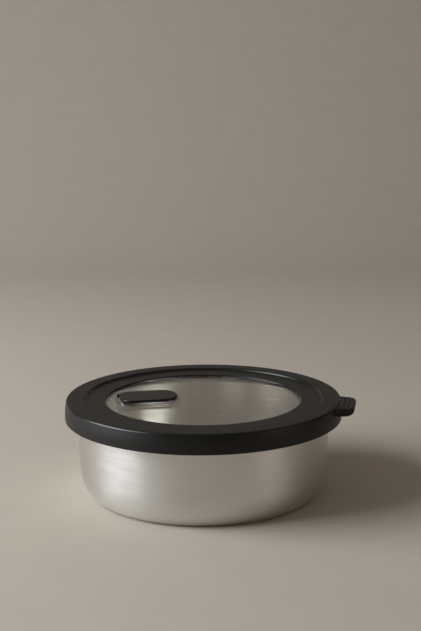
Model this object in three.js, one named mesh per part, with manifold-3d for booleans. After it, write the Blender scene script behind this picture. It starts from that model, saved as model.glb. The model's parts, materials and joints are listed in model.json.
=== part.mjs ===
// Round stainless storage container with a clear, vented lift-off lid.
// Millimetres, +Z up. The origin is the centre of the base, and the lid's pull tab points along +X.
import * as THREE from 'three';
import { mergeVertices } from 'three/addons/utils/BufferGeometryUtils.js';
import Module from 'manifold-3d';

// Steel bowl
const BOWL_DIAMETER = 160;
const BOWL_HEIGHT = 56.9;
const SHEET = 0.8;
const WALL_TAPER = 0.6;
const BASE_CORNER_WIDTH = 7.5;
const BASE_CORNER_HEIGHT = 19;
const LEDGE_DROP = 6.7;
const LEDGE_STEP = 2.4;
const LEDGE_RISE = 1.2;
const RIM_REACH = 2.6;
const RIM_HEM = 1.6;
const RIM_ROUND = 1.2;

// Gaps between pieces: seated in one another, and the seal over the rim
const FIT = 0.3;
const SEAL_REST = 0.3;

// Silicone seal: a flat band with a round bead under it
const SEAL_BAND = 0.8;
const SEAL_BEAD = 0.8;
const BEAD_INSET = 1;
const BEAD_ROUND = 0.6;

// Lid frame: plate, skirt, stepped top and the plug wall that centres it in the bowl
const LID_PLATE = 2.4;
const SKIRT_GAP = 0.9;
const SKIRT_WALL = 1.5;
const SKIRT_FLARE = 1;
const SKIRT_DEPTH = 12.4;
const SKIRT_EDGE = 0.6;
const TOP_FILLET = 3;
const OUTER_BAND = 11.2;
const INNER_BAND = 13.8;
const STEP_DROP = 1.4;
const STEP_RUN = 0.9;
const STEP_ROUND = 0.6;
const BAND_FALL = 0.2;
const BAND_THICKNESS = 2.2;
const PLUG_GAP = 1.3;
const PLUG_WALL = 2;
const PLUG_DEPTH = 2.5;
const COLLAR_WALL = 2;
const LIP_ROUND = 0.25;

// Pull tab and its grip ribs
const TAB_REACH = 9.6;
const TAB_WIDTH = 30;
const TAB_THICKNESS = 4.6;
const TAB_DROP = 1.5;
const TAB_CORNER = 5.4;
const TAB_ROOT = 4;
const TAB_EDGE = 1.2;
const RIB_COUNT = 2;
const RIB_PITCH = 2.7;
const RIB_INSET = 4.6;
const RIB_LENGTH = 16;
const RIB_WIDTH = 1.5;
const RIB_HEIGHT = 0.5;
const RIB_ROUND = 0.6;

// Clear window
const WINDOW_THICKNESS = 2.5;
const WINDOW_LAP = 3.6;
const WINDOW_SINK = 0.9;

// Vent flap, which lies across the lid's far side from the tab
const FLAP_LENGTH = 37;
const FLAP_WIDTH = 25;
const FLAP_CORNER = 8;
const FLAP_THICKNESS = 2;
const FLAP_PROUD = 1.4;
const FLAP_EDGE = 0.8;
const FLAP_TURN = THREE.MathUtils.degToRad(20.5);
const PIP_RADIUS = 0.8;
const PIP_HEIGHT = 0.25;
const PIP_INSET = 5.5;

// Vent pocket in the window
const POCKET_DEPTH = 5.2;
const POCKET_WALL = 1.2;
const POCKET_LIP = 0.6;
const POCKET_GAP = 0.5;
const POCKET_HINGE_GAP = 1.3;
const POCKET_HINGE_CORNER = 2.5;
const POCKET_MARGIN = 5.4;

// Flap hinge: stubs on the pocket walls in the holes of two lugs under the flap
const HINGE_INSET = 3;
const STUB_RADIUS = 0.8;
const STUB_PLAY = 0.3;
const LUG_WALL = 0.9;
const LUG_WIDTH = 1.8;
const LUG_INSET = 0.4;

// Vent hole with its raised seat, and the stopper on the flap's post
const VENT_RADIUS = 1.3;
const SEAT_WIDTH = 1;
const SEAT_HEIGHT = 0.4;
const STOPPER_OFFSET = 5;
const STOPPER_NECK = 2.4;
const STOPPER_FLANGE = 3.2;
const FLANGE_HEIGHT = 1.2;
const POST_RADIUS = 1.2;
const POST_LENGTH = 2.2;

// Facets of a full turn, a small round, an outline's corner and a rounded edge
const TURN_FACETS = 64;
const SMALL_FACETS = 20;
const ARC_STEPS = 3;
const EDGE_STEPS = 3;

// How far a cutting shape runs past the surface that it opens
const CUT_PAST = 1;

// Sizes that follow
const wallRadius = BOWL_DIAMETER / 2;
const upperRadius = wallRadius + LEDGE_STEP;
const upperInner = upperRadius - SHEET;
const rimRadius = upperRadius + RIM_REACH;
const ledgeZ = BOWL_HEIGHT - LEDGE_DROP;
const sealBottom = BOWL_HEIGHT + SEAL_REST;
const sealTop = sealBottom + SEAL_BEAD + SEAL_BAND;
const channelTop = sealTop + FIT;
const lidTop = channelTop + LID_PLATE;
const skirtInner = rimRadius + SKIRT_GAP;
const skirtOuter = skirtInner + SKIRT_WALL;
const skirtBottom = lidTop - SKIRT_DEPTH;
const plugOuter = upperInner - PLUG_GAP;
const plugInner = plugOuter - PLUG_WALL;
const stepRadius = skirtOuter - OUTER_BAND;
const openingRadius = stepRadius - INNER_BAND;
const bandTop = lidTop - STEP_DROP;
const windowTop = bandTop - BAND_FALL - WINDOW_SINK;
const windowBottom = windowTop - WINDOW_THICKNESS;
const windowRadius = openingRadius + WINDOW_LAP;
const rabbetRadius = windowRadius + FIT;
const tabEnd = skirtOuter + TAB_REACH;
const tabTop = lidTop - TAB_DROP;
const flapTop = windowTop + FLAP_PROUD;
const flapBottom = flapTop - FLAP_THICKNESS;
const pocketFloor = windowTop - POCKET_DEPTH;
const pocketHingeEnd = -FLAP_LENGTH / 2 - POCKET_HINGE_GAP;
const pocketLiftEnd = FLAP_LENGTH / 2 + POCKET_GAP;
const pocketHalfWidth = FLAP_WIDTH / 2 + POCKET_GAP;
const pocketCorner = FLAP_CORNER + POCKET_GAP;
const flapDistance = openingRadius - POCKET_MARGIN - POCKET_WALL + pocketHingeEnd;
const hingeX = -FLAP_LENGTH / 2 + HINGE_INSET;
const lugHole = STUB_RADIUS + STUB_PLAY;
const hingeZ = flapBottom - lugHole;
const lugRadius = lugHole + LUG_WALL;
const stopperBottom = pocketFloor + SEAT_HEIGHT + FIT;
const stopperTop = flapBottom - FIT;

const wasm = await Module();
wasm.setup();

// Closed outline through corners [x, y, radius], each rounded by its radius, up to half of the sides beside it.
function roundedOutline(corners) {
  const points = [];
  corners.forEach(([x, y, radius], i) => {
    const corner = new THREE.Vector2(x, y);
    if (!radius) {
      points.push(corner);
      return;
    }
    const before = corners.at(i - 1);
    const after = corners[(i + 1) % corners.length];
    const back = new THREE.Vector2(before[0], before[1]).sub(corner);
    const onward = new THREE.Vector2(after[0], after[1]).sub(corner);
    const halfSide = Math.min(back.length(), onward.length()) / 2;
    const halfAngle = back.angleTo(onward) / 2;
    const reach = Math.min(radius / Math.tan(halfAngle), halfSide);
    const middle = back.normalize().clone().add(onward.normalize()).normalize();
    const centre = corner.clone().addScaledVector(middle, reach / Math.cos(halfAngle));
    const start = corner.clone().addScaledVector(back, reach).sub(centre);
    const turn = Math.PI - 2 * halfAngle;
    const sense = Math.sign(onward.cross(back));
    for (let step = 0; step <= ARC_STEPS; step++) {
      const spoke = start.clone().rotateAround(new THREE.Vector2(), sense * turn * step / ARC_STEPS);
      points.push(spoke.add(centre));
    }
  });
  return points;
}

// Solid from a closed geometry.
function solid(geometry) {
  const bare = geometry.clone();
  bare.deleteAttribute('normal');
  bare.deleteAttribute('uv');
  const merged = mergeVertices(bare);
  const vertProperties = new Float32Array(merged.attributes.position.array);
  const triVerts = new Uint32Array(merged.index.array);
  return new wasm.Manifold(new wasm.Mesh({ numProp: 3, vertProperties, triVerts }));
}

// Solid of revolution about Z from a profile of (radius, height) points, outer side upwards.
function turned(profile, facets = TURN_FACETS) {
  return solid(new THREE.LatheGeometry(profile, facets).rotateX(Math.PI / 2));
}

// Ring of revolution from a closed outline.
function turnedRing(corners) {
  const outline = roundedOutline(corners);
  return turned([...outline, outline[0]]);
}

// Upright prism of an outline between two heights, with both its edges rounded by edge.
function prism(outline, low, high, edge = 0) {
  const settings = {
    depth: high - low - 2 * edge,
    bevelEnabled: edge > 0,
    bevelThickness: edge,
    bevelSize: edge,
    bevelOffset: -edge,
    bevelSegments: EDGE_STEPS,
  };
  return solid(new THREE.ExtrudeGeometry(new THREE.Shape(outline), settings).translate(0, 0, low + edge));
}

// Outline of a rounded rectangle from one x to another, centred on y = 0.
function roundedRectangle(left, right, halfWidth, radius, leftRadius = radius) {
  return roundedOutline([
    [left, -halfWidth, leftRadius],
    [right, -halfWidth, radius],
    [right, halfWidth, radius],
    [left, halfWidth, leftRadius],
  ]);
}

// Upright round bar at a place on the x axis.
function upright(radius, low, high, x = 0, facets = SMALL_FACETS) {
  const bar = new THREE.CylinderGeometry(radius, radius, high - low, facets).rotateX(Math.PI / 2);
  return solid(bar.translate(x, 0, (low + high) / 2));
}

// Round bar along Y on the flap's hinge axis.
function hingeBar(radius, start, end) {
  const bar = new THREE.CylinderGeometry(radius, radius, end - start, SMALL_FACETS);
  return solid(bar.translate(hingeX, (start + end) / 2, hingeZ));
}

// Named mesh of a finished solid.
function piece(name, body, material) {
  const { vertProperties, triVerts } = body.getMesh();
  const geometry = new THREE.BufferGeometry();
  geometry.setAttribute('position', new THREE.BufferAttribute(vertProperties, 3));
  geometry.setIndex(new THREE.BufferAttribute(triVerts, 1));
  geometry.computeVertexNormals();
  const mesh = new THREE.Mesh(geometry, material);
  mesh.name = name;
  return mesh;
}

// Bowl: flat base, tall elliptical corner, near-upright wall, ledge, and a hemmed rim turned outwards.
function bowl() {
  const cornerX = wallRadius - WALL_TAPER - BASE_CORNER_WIDTH;
  const hemRound = RIM_HEM / 2;
  const profile = new THREE.Path();
  profile.moveTo(0, 0);
  profile.lineTo(cornerX, 0);
  profile.absellipse(cornerX, BASE_CORNER_HEIGHT, BASE_CORNER_WIDTH, BASE_CORNER_HEIGHT, -Math.PI / 2, 0);
  profile.lineTo(wallRadius, ledgeZ);
  profile.lineTo(upperRadius, ledgeZ + LEDGE_RISE);
  profile.lineTo(upperRadius, BOWL_HEIGHT - RIM_HEM);
  profile.absarc(rimRadius - hemRound, BOWL_HEIGHT - hemRound, hemRound, -Math.PI / 2, Math.PI / 2);
  profile.absarc(upperInner + RIM_ROUND, BOWL_HEIGHT - RIM_ROUND, RIM_ROUND, Math.PI / 2, Math.PI);
  profile.lineTo(upperInner, ledgeZ + LEDGE_RISE + SHEET / 2);
  profile.lineTo(wallRadius - SHEET, ledgeZ + SHEET / 2);
  profile.absellipse(cornerX, BASE_CORNER_HEIGHT, BASE_CORNER_WIDTH - SHEET, BASE_CORNER_HEIGHT - SHEET,
    0, -Math.PI / 2, true);
  profile.lineTo(0, SHEET);
  return turned(profile.getPoints(ARC_STEPS));
}

// Tab plan with round outer corners and hollow fillets where it runs into the skirt.
function tabOutline() {
  const halfWidth = TAB_WIDTH / 2;
  const rootHalf = halfWidth + TAB_ROOT;
  const sideX = Math.sqrt(skirtOuter ** 2 - halfWidth ** 2);
  const rootX = Math.sqrt(skirtInner ** 2 - rootHalf ** 2);
  return roundedOutline([
    [0, -rootHalf, 0],
    [rootX, -rootHalf, 0],
    [sideX, -halfWidth, TAB_ROOT],
    [tabEnd, -halfWidth, TAB_CORNER],
    [tabEnd, halfWidth, TAB_CORNER],
    [sideX, halfWidth, TAB_ROOT],
    [rootX, rootHalf, 0],
    [0, rootHalf, 0],
  ]);
}

// Grip rib across the tab, with round ends and a rounded top.
function gripRib(x) {
  const halfWidth = RIB_WIDTH / 2;
  const outline = roundedRectangle(x - halfWidth, x + halfWidth, RIB_LENGTH / 2, RIB_ROUND);
  return prism(outline, tabTop - RIB_HEIGHT, tabTop + RIB_HEIGHT, RIB_HEIGHT / 2);
}

// Lid frame: the stepped ring with its skirt, joined with the tab outside the skirt's inner face.
function lidFrame() {
  const flareInner = skirtInner + SKIRT_FLARE;
  const flareOuter = skirtOuter + SKIRT_FLARE;
  const bandUnder = bandTop - BAND_THICKNESS;
  const ring = turnedRing([
    [openingRadius, windowTop + FIT, 0],
    [rabbetRadius, windowTop + FIT, 0],
    [rabbetRadius, windowBottom, 0],
    [rabbetRadius + COLLAR_WALL, windowBottom, 0],
    [rabbetRadius + COLLAR_WALL, bandUnder, 0],
    [plugInner, bandUnder, 0],
    [plugInner, channelTop - PLUG_DEPTH, 0],
    [plugOuter, channelTop - PLUG_DEPTH, 0],
    [plugOuter, channelTop, 0],
    [skirtInner, channelTop, 0],
    [flareInner, skirtBottom, 0],
    [flareOuter, skirtBottom, SKIRT_EDGE],
    [skirtOuter, lidTop, TOP_FILLET],
    [stepRadius, lidTop, STEP_ROUND],
    [stepRadius - STEP_RUN, bandTop, STEP_ROUND],
    [openingRadius, bandTop - BAND_FALL, LIP_ROUND],
  ]);
  const insideSkirt = upright((skirtInner + skirtOuter) / 2, skirtBottom, lidTop, 0, TURN_FACETS);
  const tab = prism(tabOutline(), tabTop - TAB_THICKNESS, tabTop, TAB_EDGE).subtract(insideSkirt);
  let frame = ring.add(tab);
  for (let i = 0; i < RIB_COUNT; i++) {
    frame = frame.add(gripRib(tabEnd - RIB_INSET - i * RIB_PITCH));
  }
  return frame;
}

// Pocket plan grown by a wall, in the flap's own axes. The hinge end is nearly square, so that the flap can stand up.
function pocketOutline(wall) {
  return roundedRectangle(
    pocketHingeEnd - wall, pocketLiftEnd + wall, pocketHalfWidth + wall,
    pocketCorner + wall, POCKET_HINGE_CORNER + wall,
  );
}

// Window disc with the vent pocket: a cup with a low lip, hinge stubs, and a seat round the vent hole.
function lidWindow() {
  const disc = upright(windowRadius, windowBottom, windowTop, 0, TURN_FACETS);
  const cup = prism(pocketOutline(POCKET_WALL), pocketFloor - POCKET_WALL, windowTop + POCKET_LIP);
  const hollow = prism(pocketOutline(0), pocketFloor, windowTop + POCKET_LIP + CUT_PAST);
  const lugOuter = lugReach() + FIT;
  const pocketReach = pocketHalfWidth + POCKET_WALL;
  const stubs = hingeBar(STUB_RADIUS, lugOuter - LUG_WIDTH, pocketReach)
    .add(hingeBar(STUB_RADIUS, -pocketReach, LUG_WIDTH - lugOuter));
  const seat = upright(VENT_RADIUS + SEAT_WIDTH, pocketFloor - POCKET_WALL / 2, pocketFloor + SEAT_HEIGHT,
    STOPPER_OFFSET);
  const hole = upright(VENT_RADIUS, pocketFloor - POCKET_WALL - CUT_PAST, pocketFloor + SEAT_HEIGHT + CUT_PAST,
    STOPPER_OFFSET);
  const place = ventPlace();
  const inPlace = (body) => body.transform(place.toArray());
  return disc
    .add(inPlace(cup))
    .subtract(inPlace(hollow))
    .add(inPlace(stubs.intersect(cup)))
    .add(inPlace(seat))
    .subtract(inPlace(hole));
}

// Seal ring: a flat band in the lid's channel with a round bead that meets the rim.
function lidSeal() {
  const inner = plugOuter + FIT;
  const outer = skirtInner - FIT;
  const bandBottom = sealTop - SEAL_BAND;
  return turnedRing([
    [inner, bandBottom, 0],
    [inner + BEAD_INSET, bandBottom, 0],
    [inner + BEAD_INSET, sealBottom, BEAD_ROUND],
    [outer - BEAD_INSET, sealBottom, BEAD_ROUND],
    [outer - BEAD_INSET, bandBottom, 0],
    [outer, bandBottom, 0],
    [outer, sealTop, 0],
    [inner, sealTop, 0],
  ]);
}

// How far the lugs reach from the flap's middle: just inside the round corners of its plate above them.
function lugReach() {
  const intoCorner = Math.max(0, FLAP_CORNER - FLAP_LENGTH / 2 - (hingeX - lugRadius));
  const cornerWidth = FLAP_CORNER - Math.sqrt(FLAP_CORNER ** 2 - intoCorner ** 2);
  return FLAP_WIDTH / 2 - cornerWidth - LUG_INSET;
}

// Flap: plate with a rounded edge, a pip at its lift end, two hinge lugs and a post for the stopper.
function ventFlap() {
  const halfLength = FLAP_LENGTH / 2;
  const outline = roundedRectangle(-halfLength, halfLength, FLAP_WIDTH / 2, FLAP_CORNER);
  const plate = prism(outline, flapBottom, flapTop, FLAP_EDGE);
  const pip = upright(PIP_RADIUS, flapBottom + FLAP_THICKNESS / 2, flapTop + PIP_HEIGHT, halfLength - PIP_INSET);
  const post = upright(POST_RADIUS, flapBottom - POST_LENGTH, flapBottom + FLAP_THICKNESS / 2, STOPPER_OFFSET);
  const reach = lugReach();
  let flap = plate.add(pip).add(post);
  for (const start of [reach - LUG_WIDTH, -reach]) {
    const web = prism(
      roundedRectangle(hingeX - lugRadius, hingeX + lugRadius, LUG_WIDTH / 2, 0),
      hingeZ, flapBottom + FLAP_THICKNESS / 2,
    ).translate([0, start + LUG_WIDTH / 2, 0]);
    flap = flap.add(web).add(hingeBar(lugRadius, start, start + LUG_WIDTH));
  }
  return flap.subtract(hingeBar(lugHole, -reach - CUT_PAST, reach + CUT_PAST));
}

// Stopper: a soft plug with a flange that covers the vent seat, bored for the flap's post.
function ventStopper() {
  const bore = POST_RADIUS + FIT;
  const boreTop = flapBottom - POST_LENGTH - FIT;
  const profile = [
    [0, stopperBottom],
    [STOPPER_FLANGE, stopperBottom],
    [STOPPER_FLANGE, stopperBottom + FLANGE_HEIGHT / 2],
    [STOPPER_NECK, stopperBottom + FLANGE_HEIGHT],
    [STOPPER_NECK, stopperTop],
    [bore, stopperTop],
    [bore, boreTop],
    [0, boreTop],
  ].map(([radius, z]) => new THREE.Vector2(radius, z));
  return turned(profile, SMALL_FACETS);
}

// Where the vent's own axes lie in the lid.
function ventPlace() {
  return new THREE.Matrix4().makeRotationZ(FLAP_TURN).setPosition(-flapDistance, 0, 0);
}

const steel = new THREE.MeshStandardMaterial({ color: '#b9b4ab', roughness: 0.32, metalness: 1 });
const blackPlastic = new THREE.MeshStandardMaterial({ color: '#262523', roughness: 0.5, metalness: 0 });
const clearPlastic = new THREE.MeshStandardMaterial({
  color: '#dfe2e0', roughness: 0.05, metalness: 0, transparent: true, opacity: 0.3,
});
const silicone = new THREE.MeshStandardMaterial({ color: '#c9c7c1', roughness: 0.6, metalness: 0 });

const stopper = piece('vent_stopper', ventStopper(), silicone.clone());
stopper.position.x = STOPPER_OFFSET;

const vent = new THREE.Group();
vent.position.x = -flapDistance;
vent.rotation.z = FLAP_TURN;
vent.add(piece('vent_flap', ventFlap(), blackPlastic.clone()), stopper);

const lid = new THREE.Group();
lid.add(
  piece('lid_frame', lidFrame(), blackPlastic),
  piece('lid_window', lidWindow(), clearPlastic),
  piece('lid_seal', lidSeal(), silicone),
  vent,
);

const container = new THREE.Group();
container.add(piece('bowl', bowl(), steel), lid);

export default container;
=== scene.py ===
"""Round steel food container with a vented clear lid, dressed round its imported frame. Metres, +Z up."""
import json
import math

import bmesh
import bpy
from bpy.props import FloatProperty, FloatVectorProperty, PointerProperty
from mathutils import Matrix, Vector


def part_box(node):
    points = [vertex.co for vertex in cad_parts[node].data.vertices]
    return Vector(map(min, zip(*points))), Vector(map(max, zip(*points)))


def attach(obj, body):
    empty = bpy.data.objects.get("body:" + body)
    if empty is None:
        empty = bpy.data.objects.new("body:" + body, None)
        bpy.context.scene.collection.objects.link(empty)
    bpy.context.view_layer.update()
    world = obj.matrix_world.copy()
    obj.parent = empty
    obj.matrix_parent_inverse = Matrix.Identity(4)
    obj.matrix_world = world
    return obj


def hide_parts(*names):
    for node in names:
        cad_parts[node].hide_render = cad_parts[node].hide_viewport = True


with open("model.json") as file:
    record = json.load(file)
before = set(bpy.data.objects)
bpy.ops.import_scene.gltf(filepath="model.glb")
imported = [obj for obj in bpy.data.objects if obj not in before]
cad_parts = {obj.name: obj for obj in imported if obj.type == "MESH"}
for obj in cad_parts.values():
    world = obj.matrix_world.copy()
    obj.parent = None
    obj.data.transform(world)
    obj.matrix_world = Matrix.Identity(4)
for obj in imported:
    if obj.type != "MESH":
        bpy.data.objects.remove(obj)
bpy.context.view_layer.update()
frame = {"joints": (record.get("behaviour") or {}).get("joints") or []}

bl_info = {
    "name": "Vented food container",
    "version": (1, 0, 0),
    "blender": (4, 5, 0),
    "location": "View3D > Sidebar > Container",
    "description": "Models a round steel food container with a clear, vented lift-off lid",
    "category": "Add Mesh",
}

MM = 0.001
# Steps of a large turned body, of a small one, of a rounding and of the backdrop's bend
TURN_STEPS = 192
SMALL_STEPS = 48
ROUND_STEPS = 6
BEND_STEPS = 24
# Points closer than MERGE become one, and heights closer than LEVEL are the same
MERGE = 0.002 * MM
LEVEL = 0.01 * MM
# Edges sharper than this stay sharp
SHARP = math.radians(38)
# Grip ribs on the tab, and the shares of a rib's half width and height that are rounded
RIB_COUNT = 2
RIB_END_ROUND = 0.9
RIB_EDGE_ROUND = 0.8
# Share of the height of the flap's dot that is rounded
PIP_ROUND = 0.6
# Places of a Mix node's two colours among its inputs, and of the mixed one among its outputs
COLOUR_A, COLOUR_B, COLOUR_OUT = 6, 7, 2

# Sizes and places that the frame gives, in metres
BOWL_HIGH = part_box("bowl")[1]
RING_LOW, RING_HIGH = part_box("lid_frame")
PANE_LOW, PANE_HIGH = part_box("lid_window")
SEAL_LOW, SEAL_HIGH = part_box("lid_seal")
FLAP_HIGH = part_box("vent_flap")[1]
STOPPER_LOW, STOPPER_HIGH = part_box("vent_stopper")
HINGE = next(joint for joint in frame["joints"] if joint["name"] == "vent_hinge")
HINGE_PLACE = Vector(HINGE["pos_m"])
HINGE_TURN = math.atan2(HINGE["axis"][0], -HINGE["axis"][1])
# The vent's own axes: X from the hinge to the end that lifts, Y along the hinge
VENT = Matrix.Translation(HINGE_PLACE) @ Matrix.Rotation(HINGE_TURN, 4, "Z")
# Where the stopper stands on that X axis
STOPPER_ALONG = (VENT.inverted() @ ((STOPPER_LOW + STOPPER_HIGH) / 2)).x


def length(name, description, millimetres):
    """Length property with its default in millimetres."""
    return FloatProperty(
        name=name, description=description, default=millimetres * MM, min=0,
        unit="LENGTH", subtype="DISTANCE", precision=5,
    )


def angle(name, description, degrees):
    """Angle property with its default in degrees."""
    return FloatProperty(name=name, description=description, default=math.radians(degrees), subtype="ANGLE")


def amount(name, description, value, unit="NONE"):
    """Property for a number that isn't negative."""
    return FloatProperty(name=name, description=description, default=value, min=0, unit=unit)


def linear(code):
    """Linear colour from an sRGB hex code."""
    values = [int(code[i:i + 2], 16) / 255 for i in (1, 3, 5)]
    return [v / 12.92 if v <= 0.04045 else ((v + 0.055) / 1.055) ** 2.4 for v in values]


def colour(name, description, code):
    """Colour property with its default as an sRGB hex code."""
    return FloatVectorProperty(
        name=name, description=description, default=linear(code), min=0, max=1, size=3, subtype="COLOR",
    )


class BowlSizes(bpy.types.PropertyGroup):
    """Sizes of the pressed bowl."""
    wall_radius: length("Wall radius", "Outside of the wall just under the ledge", 80)
    wall_taper: length("Wall taper", "How much narrower the wall is at the base corner", 0.6)
    sheet: length("Sheet", "Thickness of the steel", 0.8)
    corner_width: length("Corner width", "How far the base corner reaches inwards", 10)
    corner_height: length("Corner height", "How far the base corner reaches up the wall", 19)
    ledge_drop: length("Ledge drop", "From the rim down to the ledge", 8.2)
    ledge_step: length("Ledge step", "How far the wall steps outwards at the ledge", 2.4)
    ledge_rise: length("Ledge rise", "Height of the sloping ledge", 1.2)
    ledge_round: length("Ledge round", "Rounding where the ledge meets the wall", 0.35)
    hem: length("Hem", "Thickness of the folded rim", 1.6)
    rim_round: length("Rim round", "Rounding of the rim's inner edge", 1.2)


class RingSizes(bpy.types.PropertyGroup):
    """Sizes of the lid's black ring."""
    skirt_radius: length("Skirt radius", "Outside of the skirt at the top of the lid", 87.4)
    skirt_wall: length("Skirt wall", "Thickness of the skirt", 1.5)
    skirt_crown: length("Skirt crown", "How far the skirt's face swells between its edges", 0.4)
    skirt_edge: length("Skirt edge", "Rounding of the skirt's lower edge", 0.8)
    crown_round: length("Crown round", "Rounding of that swell", 2)
    top_fillet: length("Top fillet", "Rounding from the top into the skirt", 1.3)
    outer_band: length("Outer band", "Width of the raised outer band of the top", 11.2)
    inner_band: length("Inner band", "Width of the lower inner band of the top", 13.8)
    step_drop: length("Step drop", "Height of the step between the bands", 1.4)
    step_run: length("Step run", "Width of the sloping step", 0.9)
    step_round: length("Step round", "Rounding of the step's edges", 0.5)
    band_fall: length("Band fall", "How far the inner band slopes down to the window", 0.2)
    band_thickness: length("Band thickness", "Thickness of the inner band", 2.2)
    lip_round: length("Lip round", "Rounding of the edge round the window", 0.5)
    plate: length("Plate", "Thickness of the lid over the seal's channel", 2.4)
    plug_radius: length("Plug radius", "Outside of the wall that centres the lid in the bowl", 80.3)
    plug_wall: length("Plug wall", "Thickness of that wall", 2)
    plug_depth: length("Plug depth", "How far that wall reaches below the channel", 2.5)
    collar_wall: length("Collar wall", "Wall round the window's edge", 2)
    inner_round: length("Inner round", "Rounding of the edges under the lid", 0.4)


class TabSizes(bpy.types.PropertyGroup):
    """Sizes of the pull tab on the ring."""
    width: length("Width", "Width of the tab", 31.5)
    thickness: length("Thickness", "Thickness of the tab", 5.65)
    drop: length("Drop", "From the top of the lid down to the tab's top", 1.25)
    corner: length("Corner", "Rounding of the tab's outer corners", 7)
    root: length("Root", "How much wider the tab's root is on each side", 8)
    root_reach: length("Root reach", "How far the root stands out of the skirt at the tab's sides", 1.2)
    root_fillet: length("Root fillet", "Reach of the hollow fillet at the root", 2.6)
    edge: length("Edge", "Rounding of the tab's upper edge", 1.3)
    low_edge: length("Low edge", "Rounding of the tab's lower edge", 3.8)
    rib_inset: length("Rib inset", "From the tab's end to the first grip rib", 4.6)
    rib_pitch: length("Rib pitch", "Distance between the grip ribs", 2.7)
    rib_length: length("Rib length", "Length of a grip rib", 16)
    rib_width: length("Rib width", "Width of a grip rib", 1.4)
    rib_height: length("Rib height", "Height of a grip rib", 0.6)


class PaneSizes(bpy.types.PropertyGroup):
    """Sizes of the clear window and its vent pocket."""
    thickness: length("Thickness", "Thickness of the window", 2.5)
    sink: length("Sink", "How far the window lies below the edge round it", 1.25)
    edge: length("Edge", "Rounding of the window's rim", 0.2)
    fit: length("Fit", "Gap between the window and the ring", 0.3)
    bead_inset: length("Bead inset", "From the opening's edge to the raised bead round the window", 0.1)
    bead_width: length("Bead width", "Width of that bead", 1.6)
    bead_slope: length("Bead slope", "Width of the slope on its inner side", 0.7)
    bead_height: length("Bead height", "Height of that bead", 0.15)
    pocket_wall: length("Pocket wall", "Thickness of the pocket's wall and floor", 1.2)
    pocket_gap: length("Pocket gap", "Gap round the flap", 0.5)
    hinge_gap: length("Hinge gap", "Gap behind the flap's hinged end", 1.3)
    hinge_corner: length("Hinge corner", "Rounding of the pocket's corners at the hinge", 5)
    lip_height: length("Lip height", "How far the pocket's lip stands above the window", 0.25)
    lip_round: length("Lip round", "Rounding of that lip", 0.2)
    stub_radius: length("Stub radius", "Radius of the hinge stubs", 0.8)
    seat_width: length("Seat width", "Width of the raised seat round the vent hole", 1)
    seat_height: length("Seat height", "Height of that seat", 0.4)
    vent_radius: length("Vent radius", "Radius of the vent hole", 1.3)


class SealSizes(bpy.types.PropertyGroup):
    """Sizes of the soft ring under the lid."""
    width: length("Width", "Width of the flat band", 5)
    band: length("Band", "Thickness of the flat band", 0.8)
    bead_inset: length("Bead inset", "From the band's edge to the bead", 1)
    bead_round: length("Bead round", "Rounding of the bead", 0.6)
    edge: length("Edge", "Rounding of the band's edges", 0.2)


class FlapSizes(bpy.types.PropertyGroup):
    """Sizes of the vent flap and its stopper."""
    plate_length: length("Plate length", "Length of the flap", 37)
    width: length("Width", "Width of the flap", 25)
    corner: length("Corner", "Rounding of the flap's corners", 11)
    hinge_corner: length("Hinge corner", "Rounding of its corners at the hinge", 8)
    thickness: length("Thickness", "Thickness of the flap", 2)
    edge: length("Edge", "Rounding of the flap's edges", 0.8)
    hinge_inset: length("Hinge inset", "From the flap's end to its hinge", 3)
    lug_hole: length("Lug hole", "Radius of the hinge holes", 1.1)
    lug_radius: length("Lug radius", "Radius of the hinge lugs", 1.9)
    lug_reach: length("Lug reach", "From the flap's middle to a lug's outer side", 7.5)
    lug_width: length("Lug width", "Width of a hinge lug", 1.8)
    post_radius: length("Post radius", "Radius of the post that holds the stopper", 1.2)
    post_length: length("Post length", "Length of that post", 2.2)
    pip_radius: length("Pip radius", "Radius of the raised dot at the end that lifts", 0.8)
    pip_height: length("Pip height", "Height of that dot", 0.25)
    pip_inset: length("Pip inset", "From the flap's end to that dot", 5.5)
    stopper_flange: length("Stopper flange", "Radius of the stopper's flange", 3.2)
    stopper_neck: length("Stopper neck", "Radius of the stopper's neck", 2.4)
    flange_height: length("Flange height", "Height of the flange with its slope", 1.2)
    stopper_fit: length("Stopper fit", "Gap between the post and the stopper", 0.3)


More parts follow.
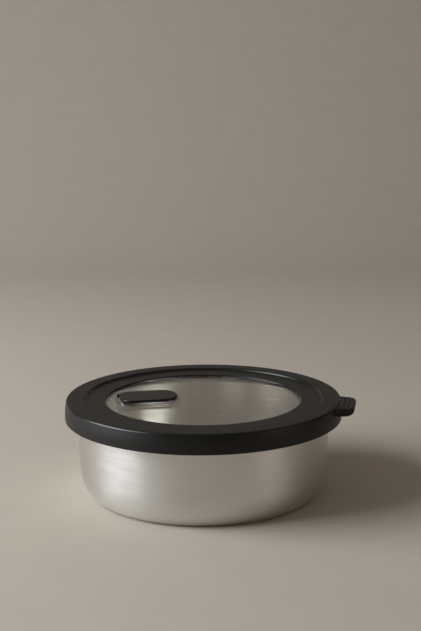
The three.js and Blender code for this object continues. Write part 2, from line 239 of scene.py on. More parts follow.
class Finishes(bpy.types.PropertyGroup):
    """Colours and roughness of the materials, the sizes of their patterns, and tints of the light."""
    steel: colour("Steel", "Satin steel", "#e0e0de")
    black: colour("Black", "Moulded black plastic of the ring", "#0a0a09")
    flap: colour("Flap", "Moulded black plastic of the flap", "#0b0a0a")
    clear: colour("Clear", "Clear plastic", "#efece7")
    silicone: colour("Silicone", "Soft silicone", "#d6d4ce")
    floor: colour("Floor", "Floor and backdrop", "#b8afa3")
    world: colour("Room", "Tint of the room's light", "#fff8ee")
    key: colour("Key light", "Tint of the key light", "#f7fbff")
    fill: colour("Fill light", "Tint of the fill light", "#ffeedd")
    brush_pitch: length("Brush pitch", "Spacing of the steel's brushed lines", 0.8)
    brush_length: length("Brush length", "Length of a brushed line", 30)
    cloud_size: length("Cloud size", "Size of the steel's finer and coarser patches", 22)
    steel_fine: amount("Steel fine", "Roughness of the steel's finest patches", 0.3)
    steel_coarse: amount("Steel coarse", "Roughness of the steel's coarsest patches", 0.4)
    inside_share: amount("Inside share", "Roughness of the bowl's inside as a share of its outside's", 0.72)
    plastic_grain: length("Plastic grain", "Grain of the moulded plastic", 0.5)
    ring_roughness: amount("Ring roughness", "Roughness of the ring's plastic", 0.46)
    flap_roughness: amount("Flap roughness", "Roughness of the flap's plastic", 0.4)
    handling_size: length("Handling size", "Size of the patches that handling leaves on the plastic", 18)
    handling_wear: amount("Handling wear", "How far handling changes the plastic's roughness", 0.05)
    haze_size: length("Haze size", "Size of the patches of haze on the clear plastic", 9)
    bloom_size: length("Bloom size", "Size of the patches of bloom on the silicone", 3)
    mottle_size: length("Mottle size", "Size of the patches on the floor and backdrop", 35)


class StageSizes(bpy.types.PropertyGroup):
    """Camera, light and backdrop. Angles to the left are seen from the camera."""
    camera_place: FloatVectorProperty(
        name="Camera", description="Where the camera stands", size=3, unit="LENGTH", subtype="TRANSLATION",
        default=(0.1343, -0.7329, 0.2572),
    )
    camera_turn: angle("Camera turn", "How far the camera looks round from the +Y axis", 10)
    camera_pitch: angle("Camera pitch", "How far the camera looks down", 10.91)
    camera_roll: angle("Camera roll", "How far the camera leans", -0.41)
    lens: amount("Lens", "Focal length on a 36 mm frame", 68.46, "CAMERA")
    key_left: angle("Key angle", "How far left of the camera the key light stands", 81)
    key_height: angle("Key height", "Angle of the key light above the floor", 28)
    key_distance: length("Key distance", "From the container to the key light", 1500)
    key_size: length("Key size", "Width of the key light", 1100)
    key_power: amount("Key power", "Power of the key light", 34.3, "POWER")
    fill_left: angle("Fill angle", "How far left of the camera the fill light stands", -62)
    fill_height: angle("Fill height", "Angle of the fill light above the floor", 14)
    fill_distance: length("Fill distance", "From the container to the fill light", 1500)
    fill_size: length("Fill size", "Width of the fill light", 700)
    fill_power: amount("Fill power", "Power of the fill light", 1.5, "POWER")
    room_low: amount("Room low", "Light of the room at eye level", 0.03)
    room_high: amount("Room high", "Light of the room overhead", 0.28)
    backdrop_distance: length("Backdrop distance", "From the container to the backdrop", 1600)
    backdrop_height: length("Backdrop height", "Height of the backdrop", 1800)
    backdrop_bend: length("Backdrop bend", "Reach of the bend between floor and backdrop", 700)
    floor_width: length("Floor width", "Width of the floor and backdrop", 6000)
    floor_front: length("Floor front", "From the container to the floor's front edge", 4000)


class ContainerSettings(bpy.types.PropertyGroup):
    """All settings of the container."""
    bowl: PointerProperty(name="Bowl", description="Pressed bowl", type=BowlSizes)
    ring: PointerProperty(name="Lid ring", description="Black ring of the lid", type=RingSizes)
    tab: PointerProperty(name="Tab", description="Pull tab of the lid", type=TabSizes)
    pane: PointerProperty(name="Window", description="Clear window of the lid", type=PaneSizes)
    seal: PointerProperty(name="Seal", description="Soft ring under the lid", type=SealSizes)
    flap: PointerProperty(name="Vent flap", description="Vent flap and stopper", type=FlapSizes)
    finishes: PointerProperty(name="Finishes", description="Colours, roughness and patterns", type=Finishes)
    stage: PointerProperty(name="Stage", description="Camera, light and backdrop", type=StageSizes)


def shade(tone, share):
    """Colour for a socket: a tone times a share, opaque."""
    return (*[share * part for part in tone], 1)


def add_node(tree, kind, inputs=None, **settings):
    """Adds a node with its settings. Each input is a value or the socket that it comes from."""
    node = tree.nodes.new(kind)
    for name, value in settings.items():
        setattr(node, name, value)
    for key, value in (inputs or {}).items():
        if isinstance(value, bpy.types.NodeSocket):
            tree.links.new(value, node.inputs[key])
        else:
            node.inputs[key].default_value = value
    return node


def empty_material(name):
    """New material with an empty node tree, and that tree."""
    material = bpy.data.materials.new(name)
    material.use_nodes = True
    material.node_tree.nodes.clear()
    return material, material.node_tree


def satin_steel(finishes):
    """Satin-brushed stainless steel: fine lines round the bowl draw highlights out up and down the wall."""
    material, tree = empty_material("satin_stainless_steel")
    surface = add_node(tree, "ShaderNodeTexCoord")
    place = surface.outputs["Object"]
    height = add_node(tree, "ShaderNodeSeparateXYZ", {"Vector": place}).outputs["Z"]
    plan = add_node(tree, "ShaderNodeVectorMath", {0: place, 1: (1, 1, 0)}, operation="MULTIPLY").outputs[0]
    outwards = add_node(tree, "ShaderNodeVectorMath", {0: plan}, operation="NORMALIZE").outputs[0]
    radius = add_node(tree, "ShaderNodeVectorMath", {0: plan}, operation="LENGTH").outputs["Value"]
    # Way along the profile: it grows with the radius on the base and with the height on the wall
    profile = add_node(tree, "ShaderNodeMath", {0: radius, 1: height}, operation="ADD").outputs[0]
    pitches = add_node(
        tree, "ShaderNodeMath", {0: profile, 1: finishes.brush_pitch}, operation="DIVIDE",
    ).outputs[0]
    across = add_node(tree, "ShaderNodeCombineXYZ", {"Z": pitches}).outputs[0]
    turns = BOWL_HIGH.y / finishes.brush_length
    lines_at = add_node(
        tree, "ShaderNodeVectorMath", {0: outwards, 1: (turns, turns, 0), 2: across},
        operation="MULTIPLY_ADD",
    ).outputs[0]
    # Real brushed lines are a few hundredths of a millimetre apart, so these are coarser to show at all
    lines = add_node(
        tree, "ShaderNodeTexNoise", {"Vector": lines_at, "Scale": 1, "Detail": 3, "Roughness": 0.65},
    ).outputs["Fac"]
    clouds = add_node(
        tree, "ShaderNodeTexNoise", {"Vector": place, "Scale": 1 / finishes.cloud_size, "Detail": 2},
    ).outputs["Fac"]
    # The lines count a little less than the clouds, and the sum mostly lies between 0.5 and 1.3
    grain = add_node(
        tree, "ShaderNodeMath", {0: lines, 1: 0.8, 2: clouds}, operation="MULTIPLY_ADD",
    ).outputs[0]
    rough = add_node(
        tree, "ShaderNodeMapRange",
        {
            "Value": grain, "From Min": 0.5, "From Max": 1.3,
            "To Min": finishes.steel_fine, "To Max": finishes.steel_coarse,
        },
    ).outputs["Result"]
    # The inside faces the axis or up, and is finer than the outside
    faces_out = add_node(
        tree, "ShaderNodeVectorMath", {0: surface.outputs["Normal"], 1: outwards}, operation="DOT_PRODUCT",
    ).outputs["Value"]
    faces_up = add_node(tree, "ShaderNodeSeparateXYZ", {"Vector": surface.outputs["Normal"]}).outputs["Z"]
    outside = add_node(tree, "ShaderNodeMath", {0: faces_out, 1: faces_up}, operation="SUBTRACT").outputs[0]
    share = add_node(
        tree, "ShaderNodeMapRange",
        {"Value": outside, "From Min": -0.2, "From Max": 0.2, "To Min": finishes.inside_share, "To Max": 1},
    ).outputs["Result"]
    roughness = add_node(tree, "ShaderNodeMath", {0: rough, 1: share}, operation="MULTIPLY").outputs[0]
    tint = add_node(
        tree, "ShaderNodeMix",
        {"Factor": lines, COLOUR_A: shade(finishes.steel, 0.88), COLOUR_B: shade(finishes.steel, 1.08)},
        data_type="RGBA",
    ).outputs[COLOUR_OUT]
    bump = add_node(
        tree, "ShaderNodeBump", {"Height": lines, "Strength": 0.12, "Distance": 0.05 * MM},
    ).outputs["Normal"]
    around = add_node(
        tree, "ShaderNodeVectorMath", {0: (0, 0, 1), 1: outwards}, operation="CROSS_PRODUCT",
    ).outputs[0]
    shader = add_node(
        tree, "ShaderNodeBsdfPrincipled",
        {
            "Base Color": tint, "Metallic": 1, "Roughness": roughness, "Normal": bump,
            "Anisotropic": 0.7, "Anisotropic Rotation": 0.25, "Tangent": around,
        },
    )
    add_node(tree, "ShaderNodeOutputMaterial", {"Surface": shader.outputs[0]})
    return material


def moulded_black(name, finishes, tone, dullness):
    """Moulded black plastic: a fine spark-eroded grain dulls it, and handling has polished its edges."""
    material, tree = empty_material(name)
    surface = add_node(tree, "ShaderNodeTexCoord")
    place = surface.outputs["Object"]
    faces_up = add_node(tree, "ShaderNodeSeparateXYZ", {"Vector": surface.outputs["Normal"]}).outputs["Z"]
    # What faces up at a slant is a rounded edge, and is polished. Flat tops and upright walls are not
    off_slant = add_node(tree, "ShaderNodeMath", {0: faces_up, 1: 0.5}, operation="SUBTRACT").outputs[0]
    flatness = add_node(tree, "ShaderNodeMath", {0: off_slant}, operation="ABSOLUTE").outputs[0]
    share = add_node(
        tree, "ShaderNodeMapRange",
        {"Value": flatness, "From Min": 0.15, "From Max": 0.4, "To Min": 0.6, "To Max": 1},
    ).outputs["Result"]
    # The real grain is near 0.1 mm, so this one is coarser to show at all
    grain = add_node(
        tree, "ShaderNodeTexNoise",
        {"Vector": place, "Scale": 1 / finishes.plastic_grain, "Detail": 2, "Roughness": 0.6},
    ).outputs["Fac"]
    handling = add_node(
        tree, "ShaderNodeTexNoise", {"Vector": place, "Scale": 1 / finishes.handling_size, "Detail": 3},
    ).outputs["Fac"]
    wear = finishes.handling_wear
    rough = add_node(
        tree, "ShaderNodeMapRange",
        {"Value": handling, "To Min": dullness - wear, "To Max": dullness + wear},
    ).outputs["Result"]
    roughness = add_node(tree, "ShaderNodeMath", {0: rough, 1: share}, operation="MULTIPLY").outputs[0]
    bump = add_node(
        tree, "ShaderNodeBump", {"Height": grain, "Strength": 0.15, "Distance": 0.06 * MM},
    ).outputs["Normal"]
    tint = add_node(
        tree, "ShaderNodeMix",
        {"Factor": handling, COLOUR_A: shade(tone, 0.85), COLOUR_B: shade(tone, 1.15)}, data_type="RGBA",
    ).outputs[COLOUR_OUT]
    shader = add_node(
        tree, "ShaderNodeBsdfPrincipled",
        {
            "Base Color": tint, "Roughness": roughness, "IOR": 1.49, "Specular IOR Level": 0.38,
            "Normal": bump,
        },
    )
    add_node(tree, "ShaderNodeOutputMaterial", {"Surface": shader.outputs[0]})
    return material


def clear_plastic(finishes):
    """Clear moulded copolyester: polished and see-through, with a faint haze from washing."""
    material, tree = empty_material("clear_copolyester")
    place = add_node(tree, "ShaderNodeTexCoord").outputs["Object"]
    haze = add_node(
        tree, "ShaderNodeTexNoise", {"Vector": place, "Scale": 1 / finishes.haze_size, "Detail": 4},
    ).outputs["Fac"]
    roughness = add_node(
        tree, "ShaderNodeMapRange", {"Value": haze, "To Min": 0, "To Max": 0.03},
    ).outputs["Result"]
    shader = add_node(
        tree, "ShaderNodeBsdfPrincipled",
        {
            "Base Color": shade(finishes.clear, 1), "Roughness": roughness, "IOR": 1.54,
            "Transmission Weight": 1,
        },
    )
    # Lamps shine through to the inside of the bowl
    open_way = add_node(tree, "ShaderNodeBsdfTransparent", {"Color": shade(finishes.clear, 1)})
    shadow = add_node(tree, "ShaderNodeLightPath").outputs["Is Shadow Ray"]
    mixed = add_node(tree, "ShaderNodeMixShader", {0: shadow, 1: shader.outputs[0], 2: open_way.outputs[0]})
    add_node(tree, "ShaderNodeOutputMaterial", {"Surface": mixed.outputs[0]})
    return material


def soft_silicone(finishes):
    """Moulded silicone rubber: milky, matt, and light shows through its thin edges."""
    material, tree = empty_material("milky_silicone")
    place = add_node(tree, "ShaderNodeTexCoord").outputs["Object"]
    bloom = add_node(
        tree, "ShaderNodeTexNoise", {"Vector": place, "Scale": 1 / finishes.bloom_size, "Detail": 3},
    ).outputs["Fac"]
    roughness = add_node(
        tree, "ShaderNodeMapRange", {"Value": bloom, "To Min": 0.42, "To Max": 0.58},
    ).outputs["Result"]
    shader = add_node(
        tree, "ShaderNodeBsdfPrincipled",
        {
            "Base Color": shade(finishes.silicone, 1), "Roughness": roughness, "IOR": 1.41,
            "Subsurface Weight": 0.5, "Subsurface Radius": (1, 0.95, 0.85), "Subsurface Scale": 1.5 * MM,
        },
    )
    add_node(tree, "ShaderNodeOutputMaterial", {"Surface": shader.outputs[0]})
    return material


def matt_backdrop(finishes):
    """Matt painted board: even and pale, with a barely seen mottle."""
    material, tree = empty_material("matt_painted_board")
    place = add_node(tree, "ShaderNodeTexCoord").outputs["Object"]
    mottle = add_node(
        tree, "ShaderNodeTexNoise",
        {"Vector": place, "Scale": 1 / finishes.mottle_size, "Detail": 5, "Roughness": 0.6},
    ).outputs["Fac"]
    tint = add_node(
        tree, "ShaderNodeMix",
        {"Factor": mottle, COLOUR_A: shade(finishes.floor, 0.95), COLOUR_B: shade(finishes.floor, 1.05)},
        data_type="RGBA",
    ).outputs[COLOUR_OUT]
    shader = add_node(
        tree, "ShaderNodeBsdfPrincipled",
        {"Base Color": tint, "Roughness": 0.85, "Specular IOR Level": 0.25},
    )
    add_node(tree, "ShaderNodeOutputMaterial", {"Surface": shader.outputs[0]})
    return material


def bevel(bm, geom, reach, affect, steps=ROUND_STEPS):
    """Rounds corners or edges as far as a reach along their sides."""
    bmesh.ops.bevel(
        bm, geom=geom, offset=reach, offset_type="OFFSET", segments=steps, profile=0.5, affect=affect,
        material=-1,
    )


def round_corners(bm, verts, corners):
    """Rounds each vertex by the reach that its (x, y, reach) corner gives."""
    for vert, (_, _, reach) in zip(verts, corners):
        if reach:
            bevel(bm, [vert], reach, "VERTICES")


def profile_wire(bm, corners, closed):
    """Wire through (radius, height, reach) corners that aren't rounded yet."""
    verts = [bm.verts.new((radius, 0, height)) for radius, height, _ in corners]
    onward = verts[1:] + verts[:1] if closed else verts[1:]
    for start, end in zip(verts, onward):
        bm.edges.new((start, end))
    return verts


def spin_round(bm, steps=TURN_STEPS):
    """Spins a wire into a closed body of revolution."""
    bmesh.ops.spin(
        bm, geom=bm.verts[:] + bm.edges[:], cent=(0, 0, 0), axis=(0, 0, 1), angle=2 * math.pi, steps=steps,
        use_merge=True,
    )
    close_body(bm)


def close_body(bm):
    """Merges doubles and turns the faces outwards."""
    bmesh.ops.remove_doubles(bm, verts=bm.verts, dist=MERGE)
    bmesh.ops.recalc_face_normals(bm, faces=bm.faces)


def turned_body(corners, closed, steps=TURN_STEPS):
    """Body of revolution with a profile of (radius, height, reach) corners."""
    bm = bmesh.new()
    verts = profile_wire(bm, corners, closed)
    round_corners(bm, verts, corners)
    spin_round(bm, steps)
    return bm


def level_edges(bm, height):
    """Edges that lie level at a height."""
    return [e for e in bm.edges if all(abs(v.co.z - height) < LEVEL for v in e.verts)]


def round_plate(corners, low, high, edge=0, low_edge=None):
    """Plate of (x, y, reach) corners. Its two rims are rounded alike, unless low_edge is given."""
    bm = bmesh.new()
    verts = [bm.verts.new((x, y, low)) for x, y, _ in corners]
    bm.faces.new(verts)
    round_corners(bm, verts, corners)
    raised = bmesh.ops.extrude_face_region(bm, geom=bm.faces[:])["geom"]
    raised = [item for item in raised if isinstance(item, bmesh.types.BMVert)]
    bmesh.ops.translate(bm, verts=raised, vec=(0, 0, high - low))
    close_body(bm)
    for height, reach in ((high, edge), (low, edge if low_edge is None else low_edge)):
        if reach:
            bevel(bm, level_edges(bm, height), reach, "EDGES")
    return bm


def rectangle(left, right, half_width, reach, left_reach=None):
    """Corners of a rectangle, rounded by a reach, which may differ at the left."""
    left_reach = reach if left_reach is None else left_reach
    return [
        (left, -half_width, left_reach),
        (right, -half_width, reach),
        (right, half_width, reach),
        (left, half_width, left_reach),
    ]


def round_bar(radius, low, high, edge=0, steps=SMALL_STEPS):
    """Upright round bar on the Z axis, with rounded rims."""
    bm = bmesh.new()
    bmesh.ops.create_cone(
        bm, cap_ends=True, segments=steps, radius1=radius, radius2=radius, depth=high - low,
        matrix=Matrix.Translation((0, 0, (low + high) / 2)),
    )
    if edge:
        rims = [e for e in bm.edges if abs(e.verts[0].co.z - e.verts[1].co.z) < LEVEL]
        bevel(bm, rims, edge, "EDGES")
    return bm


def as_mesh(bm, name, place=Matrix.Identity(4)):
    """Mesh of a finished bmesh, put in its place."""
    bmesh.ops.transform(bm, matrix=place, verts=bm.verts)
    mesh = bpy.data.meshes.new(name)
    bm.to_mesh(mesh)
    bm.free()
    return mesh


def new_object(name, data):
    """New object in the scene."""
    made = bpy.data.objects.new(name, data)
    bpy.context.scene.collection.objects.link(made)
    return made


def combine(mesh, tool, operation):
    """Mesh of one body joined with another or cut by it."""
    body = new_object("body", mesh)
    other = new_object("other", tool)
    step = body.modifiers.new("combine", "BOOLEAN")
    step.operation = operation
    step.solver = "EXACT"
    step.object = other
    shaped = body.evaluated_get(bpy.context.evaluated_depsgraph_get())
    result = bpy.data.meshes.new_from_object(shaped)
    for item in (body, other):
        bpy.data.objects.remove(item)
    for used in (mesh, tool):
        bpy.data.meshes.remove(used)
    if not result.polygons:
        raise RuntimeError(f"{operation} left nothing")
    return result


def add_piece(mesh, name, material, body, node):
    """Shows a mesh as the piece that stands for a CAD node."""
    mesh.name = name
    mesh.materials.clear()
    mesh.materials.append(material)
    mesh.shade_smooth()
    mesh.set_sharp_from_angle(angle=SHARP)
    piece = new_object(name, mesh)
    even = piece.modifiers.new("Flat faces stay flat", "WEIGHTED_NORMAL")
    even.keep_sharp = True
    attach(piece, body)
    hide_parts(node)


def window_top(settings):
    """Height of the window's upper face."""
    ring = settings.ring
    return RING_HIGH.z - ring.step_drop - ring.band_fall - settings.pane.sink


class CONTAINER_OT_bowl(bpy.types.Operator):
    """Pressed bowl with a tall base corner, a ledge and a hemmed rim."""
    bl_idname = "container.bowl"
    bl_label = "Bowl"

    def execute(self, context):
        settings = context.scene.container
        sizes = settings.bowl
        height = BOWL_HIGH.z
        base = sizes.wall_radius - sizes.wall_taper
        upper = sizes.wall_radius + sizes.ledge_step
        ledge = height - sizes.ledge_drop
        ledge_top = ledge + sizes.ledge_rise
        sheet = sizes.sheet
        corners = [
            (0, 0, 0),
            (base, 0, 0),
            (base, sizes.corner_height, 0),
            (sizes.wall_radius, ledge, sizes.ledge_round),
            (upper, ledge_top, sizes.ledge_round),
            (upper, height - sizes.hem, 0),
            (BOWL_HIGH.y, height - sizes.hem, sizes.hem / 2),
            (BOWL_HIGH.y, height, sizes.hem / 2),
            (upper - sheet, height, sizes.rim_round),
            (upper - sheet, ledge_top + sheet / 2, sizes.ledge_round),
            (sizes.wall_radius - sheet, ledge + sheet / 2, sizes.ledge_round),
            (base - sheet, sizes.corner_height, 0),
            (base - sheet, sheet, 0),
            (0, sheet, 0),
        ]
        bm = bmesh.new()
        verts = profile_wire(bm, corners, closed=False)
        outer_base, inner_base = verts[1], verts[-2]
        # The base corner is a quarter circle on a squat profile, which is then drawn up to its height
        squat = sizes.corner_width / sizes.corner_height
        bmesh.ops.scale(bm, verts=bm.verts, vec=(1, 1, squat))
        bevel(bm, [outer_base], sizes.corner_width, "VERTICES")
        bevel(bm, [inner_base], sizes.corner_width - sheet, "VERTICES")
        bmesh.ops.scale(bm, verts=bm.verts, vec=(1, 1, 1 / squat))
        round_corners(bm, verts, corners)
        spin_round(bm)
        steel = satin_steel(settings.finishes)
        add_piece(as_mesh(bm, "bowl_shell"), "bowl_shell", steel, "bowl", "bowl")
        return {"FINISHED"}


class CONTAINER_OT_ring(bpy.types.Operator):
    """Black ring of the lid with its skirt, stepped top and ribbed pull tab, in one moulding."""
    bl_idname = "container.ring"
    bl_label = "Lid ring and tab"

    def execute(self, context):
        settings = context.scene.container
        mesh = self.ring(settings)
        mesh = combine(mesh, self.tab(settings), "UNION")
        finishes = settings.finishes
        black = moulded_black("black_polypropylene", finishes, finishes.black, finishes.ring_roughness)
        add_piece(mesh, "lid_ring", black, "lid", "lid_frame")
        return {"FINISHED"}

    def ring(self, settings):
        """Ring of revolution without the tab."""
        sizes, pane = settings.ring, settings.pane
        top, bottom = RING_HIGH.z, RING_LOW.z
        outer = sizes.skirt_radius
        inner = outer - sizes.skirt_wall
        step = outer - sizes.outer_band
        opening = step - sizes.inner_band
        rabbet = PANE_HIGH.y + pane.fit
        under = window_top(settings) + pane.fit
        pane_bottom = window_top(settings) - pane.thickness
        band = top - sizes.step_drop
        band_under = band - sizes.band_thickness
        channel = top - sizes.plate
        plug = sizes.plug_radius
        plug_inner = plug - sizes.plug_wall
        plug_bottom = channel - sizes.plug_depth
        flare = RING_HIGH.y - outer
        corners = [
            (opening, under, 0),
            (rabbet, under, 0),
            (rabbet, pane_bottom, sizes.inner_round),
            (rabbet + sizes.collar_wall, pane_bottom, sizes.inner_round),
            (rabbet + sizes.collar_wall, band_under, sizes.inner_round),
            (plug_inner, band_under, sizes.inner_round),
            (plug_inner, plug_bottom, sizes.inner_round),
            (plug, plug_bottom, sizes.inner_round),
            (plug, channel, 0),
            (inner, channel, 0),
            (inner + flare, bottom, sizes.inner_round),
            (outer + flare, bottom, sizes.skirt_edge),
            (outer + flare / 2 + sizes.skirt_crown, (top + bottom) / 2, sizes.crown_round),
            (outer, top, sizes.top_fillet),
            (step, top, sizes.step_round),
            (step - sizes.step_run, band, sizes.step_round),
            (opening, band - sizes.band_fall, sizes.lip_round),
        ]
        return as_mesh(turned_body(corners, closed=True), "ring")

    def tab(self, settings):
        """Pull tab with its grip ribs, cut to the skirt's round."""
        sizes, ring = settings.tab, settings.ring
        end = RING_HIGH.x
        top = RING_HIGH.z - sizes.drop
        half = sizes.width / 2
        root_half = half + sizes.root
        skirt = ring.skirt_radius
        skirt_middle = skirt - ring.skirt_wall / 2
        side = math.sqrt(skirt ** 2 - half ** 2) + sizes.root_reach
        root = math.sqrt((skirt - ring.skirt_wall) ** 2 - root_half ** 2)
        back = root - half
        outline = [
            (back, -root_half, 0),
            (root, -root_half, 0),
            (side, -half, sizes.root_fillet),
            (end, -half, sizes.corner),
            (end, half, sizes.corner),
            (side, half, sizes.root_fillet),
            (root, root_half, 0),
            (back, root_half, 0),
        ]
        plate = round_plate(outline, top - sizes.thickness, top, sizes.edge, sizes.low_edge)
        mesh = as_mesh(plate, "tab")
        core = round_bar(skirt_middle, RING_LOW.z, RING_HIGH.z, steps=TURN_STEPS)
        mesh = combine(mesh, as_mesh(core, "core"), "DIFFERENCE")
        half_rib = sizes.rib_width / 2
        rib_height = sizes.rib_height
        for number in range(RIB_COUNT):
            place = end - sizes.rib_inset - number * sizes.rib_pitch
            outline = rectangle(
                place - half_rib, place + half_rib, sizes.rib_length / 2, RIB_END_ROUND * half_rib,
            )
            rib = round_plate(outline, top - rib_height, top + rib_height, RIB_EDGE_ROUND * rib_height)
            mesh = combine(mesh, as_mesh(rib, "rib"), "UNION")
        return mesh


class CONTAINER_OT_window(bpy.types.Operator):
    """Clear window with the pocket that holds the vent flap."""
    bl_idname = "container.window"
    bl_label = "Window"

    def execute(self, context):
        settings = context.scene.container
        sizes, flap = settings.pane, settings.flap
        # The pocket is drawn in the vent's own axes, so its heights start at the hinge
        floor = PANE_LOW.z + sizes.pocket_wall - HINGE_PLACE.z
        rim = window_top(settings) + sizes.lip_height
        lip = rim - HINGE_PLACE.z
        wall = sizes.pocket_wall
        hinge_end = -flap.hinge_inset - sizes.hinge_gap
        lift_end = flap.plate_length - flap.hinge_inset + sizes.pocket_gap
        half = flap.width / 2 + sizes.pocket_gap
        corner = flap.corner + sizes.pocket_gap
        over = sizes.thickness
        cup = rectangle(
            hinge_end - wall, lift_end + wall, half + wall, corner + wall, sizes.hinge_corner + wall,
        )
        hollow = rectangle(hinge_end, lift_end, half, corner, sizes.hinge_corner)
        seat = VENT @ Matrix.Translation((STOPPER_ALONG, 0, 0))
        mesh = self.disc(settings)
        mesh = combine(mesh, as_mesh(round_plate(cup, floor - wall, lip), "cup", VENT), "UNION")
        mesh = combine(mesh, as_mesh(round_plate(hollow, floor, lip + over), "hollow", VENT), "DIFFERENCE")
        stub_start = flap.lug_reach + sizes.fit - flap.lug_width
        for side in (-1, 1):
            turn = Matrix.Rotation(-side * math.pi / 2, 4, "X")
            stub = as_mesh(round_bar(sizes.stub_radius, stub_start, half + wall / 2), "stub", VENT @ turn)
            mesh = combine(mesh, stub, "UNION")
        seat_radius = sizes.vent_radius + sizes.seat_width
        raised = round_bar(seat_radius, floor - wall / 2, floor + sizes.seat_height)
        mesh = combine(mesh, as_mesh(raised, "seat", seat), "UNION")
        hole = round_bar(sizes.vent_radius, floor - over, floor + over)
        mesh = combine(mesh, as_mesh(hole, "hole", seat), "DIFFERENCE")
        bm = bmesh.new()
        bm.from_mesh(mesh)
        rims = [e for e in level_edges(bm, rim) if abs(e.calc_face_angle(0)) > SHARP]
        bevel(bm, rims, sizes.lip_round, "EDGES")
        bm.to_mesh(mesh)
        bm.free()
        clear = clear_plastic(settings.finishes)
        add_piece(mesh, "window_pane", clear, "lid", "lid_window")
        return {"FINISHED"}

    def disc(self, settings):
        """Round pane with a low bead just inside the ring's opening."""
        sizes, ring = settings.pane, settings.ring
        top = window_top(settings)
        bottom = top - sizes.thickness
        radius = PANE_HIGH.y
        bead = ring.skirt_radius - ring.outer_band - ring.inner_band - sizes.bead_inset
        bead_top = top + sizes.bead_height
        corners = [
            (0, bottom, 0),
            (radius, bottom, sizes.edge),
            (radius, top, sizes.edge),
            (bead, top, 0),
            (bead, bead_top, sizes.edge / 2),
            (bead - sizes.bead_width + sizes.bead_slope, bead_top, sizes.edge),
            (bead - sizes.bead_width, top, sizes.edge),
            (0, top, 0),
        ]
        return as_mesh(turned_body(corners, closed=False), "pane")


class CONTAINER_OT_seal(bpy.types.Operator):
    """Soft ring in the lid's channel, with a bead that meets the bowl's rim."""
    bl_idname = "container.seal"
    bl_label = "Seal"

    def execute(self, context):
        settings = context.scene.container
        sizes = settings.seal
        outer = SEAL_HIGH.y
        inner = outer - sizes.width
        band = SEAL_HIGH.z - sizes.band
        corners = [
            (inner, band, sizes.edge),
            (inner + sizes.bead_inset, band, sizes.edge),
            (inner + sizes.bead_inset, SEAL_LOW.z, sizes.bead_round),
            (outer - sizes.bead_inset, SEAL_LOW.z, sizes.bead_round),
            (outer - sizes.bead_inset, band, sizes.edge),
            (outer, band, sizes.edge),
            (outer, SEAL_HIGH.z, sizes.edge),
            (inner, SEAL_HIGH.z, sizes.edge),
        ]
        mesh = as_mesh(turned_body(corners, closed=True), "seal_ring")
        silicone = soft_silicone(settings.finishes)
        add_piece(mesh, "seal_ring", silicone, "lid", "lid_seal")
        return {"FINISHED"}


class CONTAINER_OT_vent(bpy.types.Operator):
    """Vent flap with its hinge lugs and raised dot, and the soft stopper under it."""
    bl_idname = "container.vent"
    bl_label = "Vent flap and stopper"

    def execute(self, context):
        settings = context.scene.container
        finishes = settings.finishes
        black = moulded_black("black_abs", finishes, finishes.flap, finishes.flap_roughness)
        add_piece(self.flap(settings.flap), "flap_lever", black, "vent", "vent_flap")
        stopper = self.stopper(settings.flap)
        add_piece(stopper, "stopper_plug", soft_silicone(finishes), "vent", "vent_stopper")
        return {"FINISHED"}

    def flap(self, sizes):
        """Plate with a dot, two lugs and a post, bored for the hinge."""
        top = FLAP_HIGH.z - sizes.pip_height - HINGE_PLACE.z
        bottom = top - sizes.thickness
        middle = (top + bottom) / 2
        end = sizes.plate_length - sizes.hinge_inset
        outline = rectangle(-sizes.hinge_inset, end, sizes.width / 2, sizes.corner, sizes.hinge_corner)
        mesh = as_mesh(round_plate(outline, bottom, top, sizes.edge), "plate")
        pip = round_bar(sizes.pip_radius, middle, top + sizes.pip_height, PIP_ROUND * sizes.pip_height)
        pip_place = Matrix.Translation((end - sizes.pip_inset, 0, 0))
        mesh = combine(mesh, as_mesh(pip, "pip", pip_place), "UNION")
        post = round_bar(sizes.post_radius, bottom - sizes.post_length, middle)
        mesh = combine(mesh, as_mesh(post, "post", Matrix.Translation((STOPPER_ALONG, 0, 0))), "UNION")
        # A lug's outline is drawn lying down, and is then turned up so that the lug stands across the hinge
        radius = sizes.lug_radius
        outline = [
            (-radius, -radius, radius),
            (radius, -radius, radius),
            (radius, middle, 0),
            (-radius, middle, 0),
        ]
        upright = Matrix.Rotation(math.pi / 2, 4, "X")
        for outer in (sizes.lug_reach, sizes.lug_width - sizes.lug_reach):
            lug = round_plate(outline, -outer, sizes.lug_width - outer)
            mesh = combine(mesh, as_mesh(lug, "lug", upright), "UNION")
        bore = round_bar(sizes.lug_hole, -sizes.width / 2, sizes.width / 2)
        mesh = combine(mesh, as_mesh(bore, "bore", upright), "DIFFERENCE")
        mesh.transform(VENT)
        return mesh

    def stopper(self, sizes):
        """Plug with a flange, bored for the flap's post."""
        low = STOPPER_LOW.z - HINGE_PLACE.z
        high = STOPPER_HIGH.z - HINGE_PLACE.z
        bore = sizes.post_radius + sizes.stopper_fit
        flap_bottom = FLAP_HIGH.z - sizes.pip_height - sizes.thickness - HINGE_PLACE.z
        bore_end = flap_bottom - sizes.post_length - sizes.stopper_fit
        edge = sizes.flange_height / 4
        corners = [
            (0, low, 0),
            (sizes.stopper_flange, low, edge),
            (sizes.stopper_flange, low + sizes.flange_height / 2, edge),
            (sizes.stopper_neck, low + sizes.flange_height, edge),
            (sizes.stopper_neck, high, edge),
            (bore, high, 0),
            (bore, bore_end, 0),
            (0, bore_end, 0),
        ]
        place = VENT @ Matrix.Translation((STOPPER_ALONG, 0, 0))
        return as_mesh(turned_body(corners, closed=False, steps=SMALL_STEPS), "stopper", place)


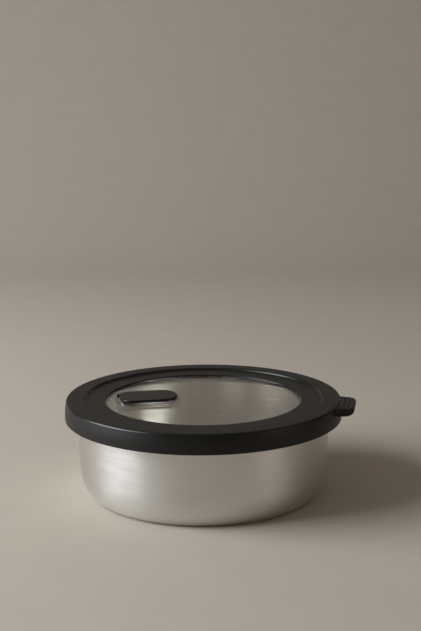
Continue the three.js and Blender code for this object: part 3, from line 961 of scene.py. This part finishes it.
class CONTAINER_OT_stage(bpy.types.Operator):
    """Pale floor that bends up into a backdrop, a soft key and fill light, a dim room and the camera."""
    bl_idname = "container.stage"
    bl_label = "Stage"

    def execute(self, context):
        scene = context.scene
        settings = scene.container
        sizes = settings.stage
        facing = Matrix.Rotation(sizes.camera_turn, 4, "Z")
        self.backdrop(settings, facing)
        self.soft_light(
            "key_light", sizes.key_left, sizes.key_height, sizes.key_distance, sizes.key_size,
            sizes.key_power, settings.finishes.key, facing,
        )
        self.soft_light(
            "fill_light", sizes.fill_left, sizes.fill_height, sizes.fill_distance, sizes.fill_size,
            sizes.fill_power, settings.finishes.fill, facing,
        )
        self.room(scene, settings)
        self.camera(scene, sizes, facing)
        scene.view_settings.view_transform = "Standard"
        return {"FINISHED"}

    def backdrop(self, settings, facing):
        """Floor and backdrop in one sheet."""
        sizes = settings.stage
        half = sizes.floor_width / 2
        bm = bmesh.new()
        points = [
            (-sizes.floor_front, 0),
            (sizes.backdrop_distance, 0),
            (sizes.backdrop_distance, sizes.backdrop_height),
        ]
        verts = [bm.verts.new((-half, y, z)) for y, z in points]
        for start, end in zip(verts, verts[1:]):
            bm.edges.new((start, end))
        bevel(bm, [verts[1]], sizes.backdrop_bend, "VERTICES", BEND_STEPS)
        swept = bmesh.ops.extrude_edge_only(bm, edges=bm.edges[:])["geom"]
        swept = [item for item in swept if isinstance(item, bmesh.types.BMVert)]
        bmesh.ops.translate(bm, verts=swept, vec=(sizes.floor_width, 0, 0))
        bmesh.ops.recalc_face_normals(bm, faces=bm.faces)
        mesh = as_mesh(bm, "backdrop", facing)
        mesh.shade_smooth()
        mesh.materials.append(matt_backdrop(settings.finishes))
        sheet = new_object("backdrop", mesh)

    def soft_light(self, name, left, height, distance, size, power, tint, facing):
        """Square soft light that faces the container."""
        lamp = bpy.data.lights.new(name, "AREA")
        lamp.shape = "SQUARE"
        lamp.size = size
        lamp.energy = power
        lamp.color = tint
        flat = math.cos(height)
        away = facing @ Vector((-math.sin(left) * flat, -math.cos(left) * flat, math.sin(height)))
        light = new_object(name, lamp)
        light.location = away * distance
        light.rotation_euler = away.to_track_quat("Z", "Y").to_euler()

    def room(self, scene, settings):
        """Dim room, lighter overhead than at eye level."""
        sizes = settings.stage
        scene.world = bpy.data.worlds.new("dim_room")
        scene.world.use_nodes = True
        tree = scene.world.node_tree
        tree.nodes.clear()
        way = add_node(tree, "ShaderNodeTexCoord").outputs["Generated"]
        rise = add_node(tree, "ShaderNodeSeparateXYZ", {"Vector": way}).outputs["Z"]
        level = add_node(
            tree, "ShaderNodeMapRange",
            {"Value": rise, "To Min": sizes.room_low, "To Max": sizes.room_high},
        ).outputs["Result"]
        light = add_node(
            tree, "ShaderNodeBackground", {"Color": shade(settings.finishes.world, 1), "Strength": level},
        )
        add_node(tree, "ShaderNodeOutputWorld", {"Surface": light.outputs[0]})

    def camera(self, scene, sizes, facing):
        """Camera at the photograph's angle."""
        lens = bpy.data.cameras.new("camera")
        lens.lens = sizes.lens
        camera = new_object("camera", lens)
        down = Matrix.Rotation(math.pi / 2 - sizes.camera_pitch, 4, "X")
        lean = Matrix.Rotation(sizes.camera_roll, 4, "Z")
        camera.matrix_world = Matrix.Translation(sizes.camera_place) @ facing @ down @ lean
        scene.camera = camera


OPERATORS = (
    CONTAINER_OT_stage,
    CONTAINER_OT_bowl,
    CONTAINER_OT_ring,
    CONTAINER_OT_window,
    CONTAINER_OT_seal,
    CONTAINER_OT_vent,
)


class CONTAINER_PT_sidebar(bpy.types.Panel):
    """Lists the container's settings and pieces."""
    bl_idname = "CONTAINER_PT_sidebar"
    bl_label = "Food container"
    bl_space_type = "VIEW_3D"
    bl_region_type = "UI"
    bl_category = "Container"

    def draw(self, context):
        settings = context.scene.container
        for group in settings.bl_rna.properties:
            if group.type != "POINTER" or group.identifier == "rna_type":
                continue
            box = self.layout.box()
            box.label(text=group.name)
            sizes = getattr(settings, group.identifier)
            for item in sizes.bl_rna.properties:
                if item.identifier not in ("rna_type", "name"):
                    box.prop(sizes, item.identifier)
        for operator in OPERATORS:
            self.layout.operator(operator.bl_idname)


CLASSES = (
    BowlSizes, RingSizes, TabSizes, PaneSizes, SealSizes, FlapSizes, Finishes, StageSizes,
    ContainerSettings, *OPERATORS, CONTAINER_PT_sidebar,
)


def register():
    """Registers the settings, operators and panel."""
    for cls in CLASSES:
        bpy.utils.register_class(cls)
    bpy.types.Scene.container = PointerProperty(
        name="Container", description="Settings of the container", type=ContainerSettings,
    )


def unregister():
    """Removes them again."""
    del bpy.types.Scene.container
    for cls in reversed(CLASSES):
        bpy.utils.unregister_class(cls)


def main():
    """Builds the stage and every piece."""
    register()
    bpy.ops.container.stage()
    bpy.ops.container.bowl()
    bpy.ops.container.ring()
    bpy.ops.container.window()
    bpy.ops.container.seal()
    bpy.ops.container.vent()


if __name__ == "__main__":
    main()
